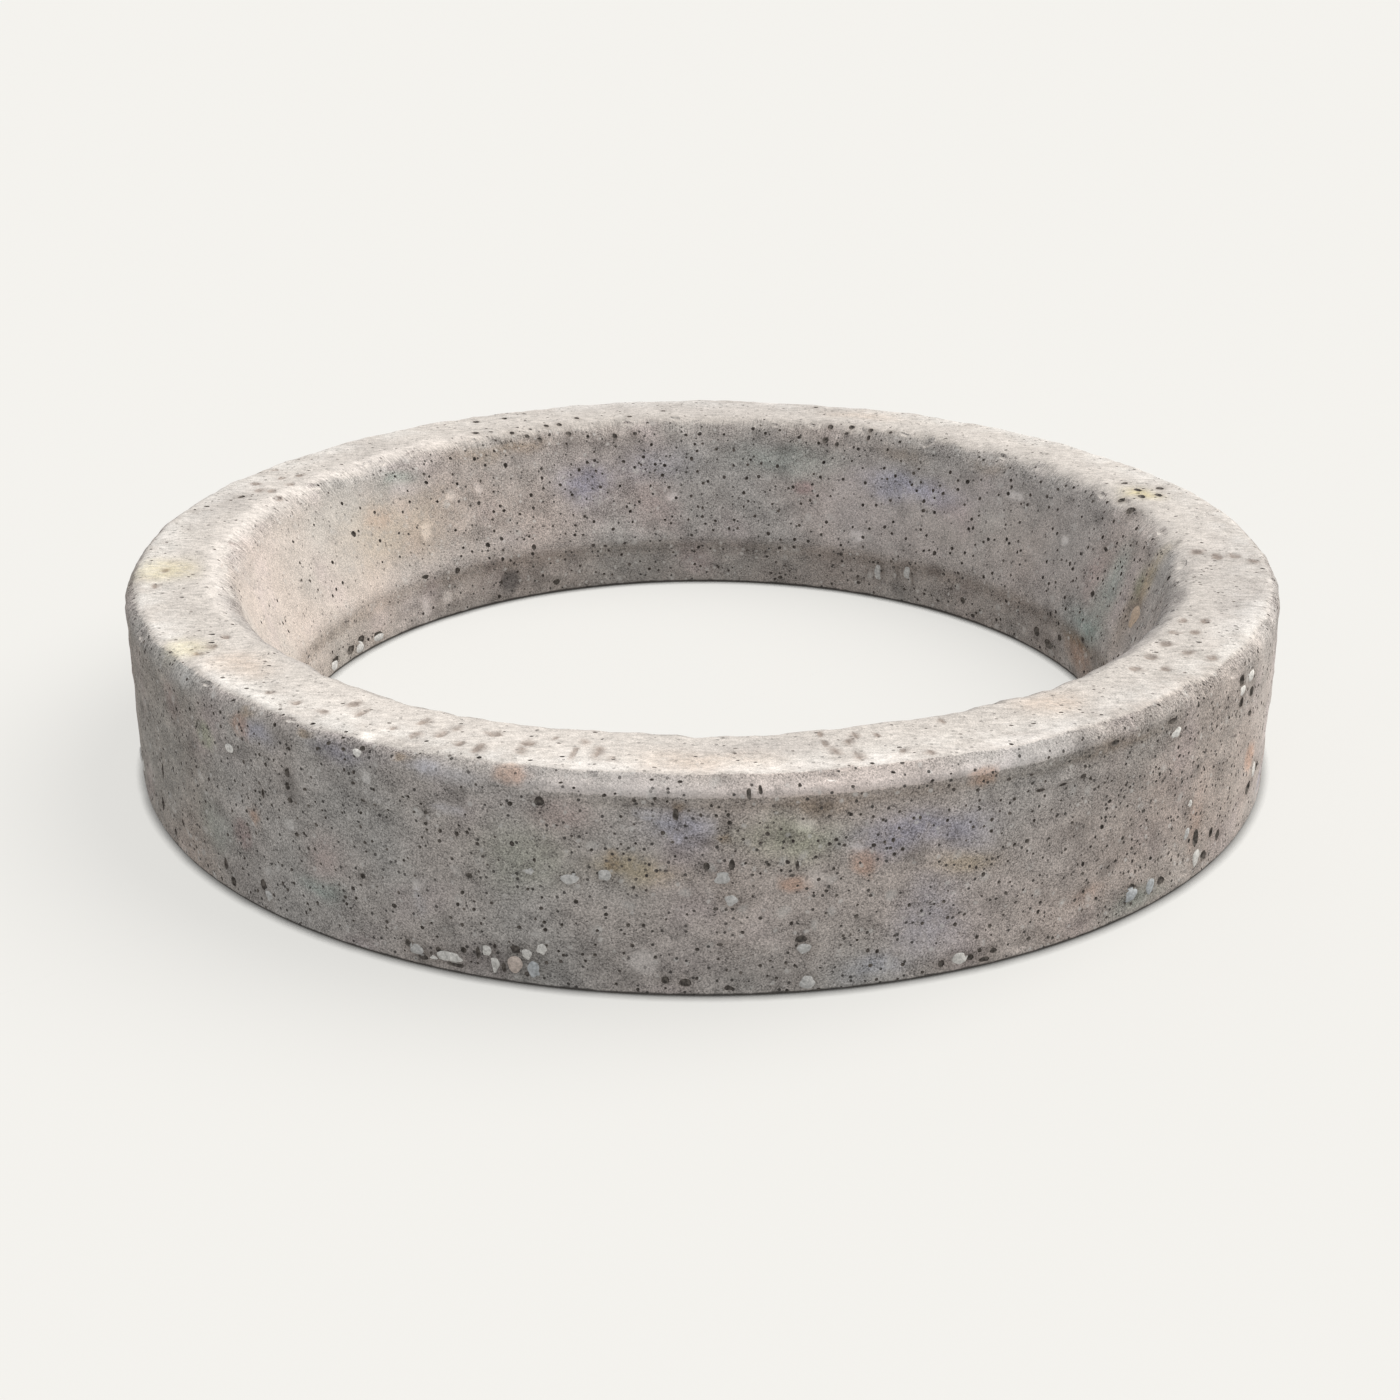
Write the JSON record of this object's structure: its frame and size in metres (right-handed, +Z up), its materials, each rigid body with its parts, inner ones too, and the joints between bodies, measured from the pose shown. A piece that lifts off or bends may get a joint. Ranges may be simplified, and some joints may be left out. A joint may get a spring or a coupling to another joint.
{
  "type": "concrete tree pit ring",
  "caption": "Low precast concrete ring with an upright outer wall, rounded rim and flared inner face, set on the ground to edge and hold the soil of a tree pit.",
  "frame": {"origin": "centre of the ring on the level that it stands on", "axes": "+Z up along the ring's own axis; the ring is the same all the way round, so +X and +Y are free, and -Y faces the picture's camera"},
  "size_m": [1.2, 1.2, 0.204],
  "materials": {
    "cast_concrete": "weathered grey precast concrete, sandy and matt, with blow holes, stains and pebbles showing at worn edges"
  },
  "bodies": {
    "root": {"concrete_ring": "cast_concrete"}
  },
  "joints": []
}
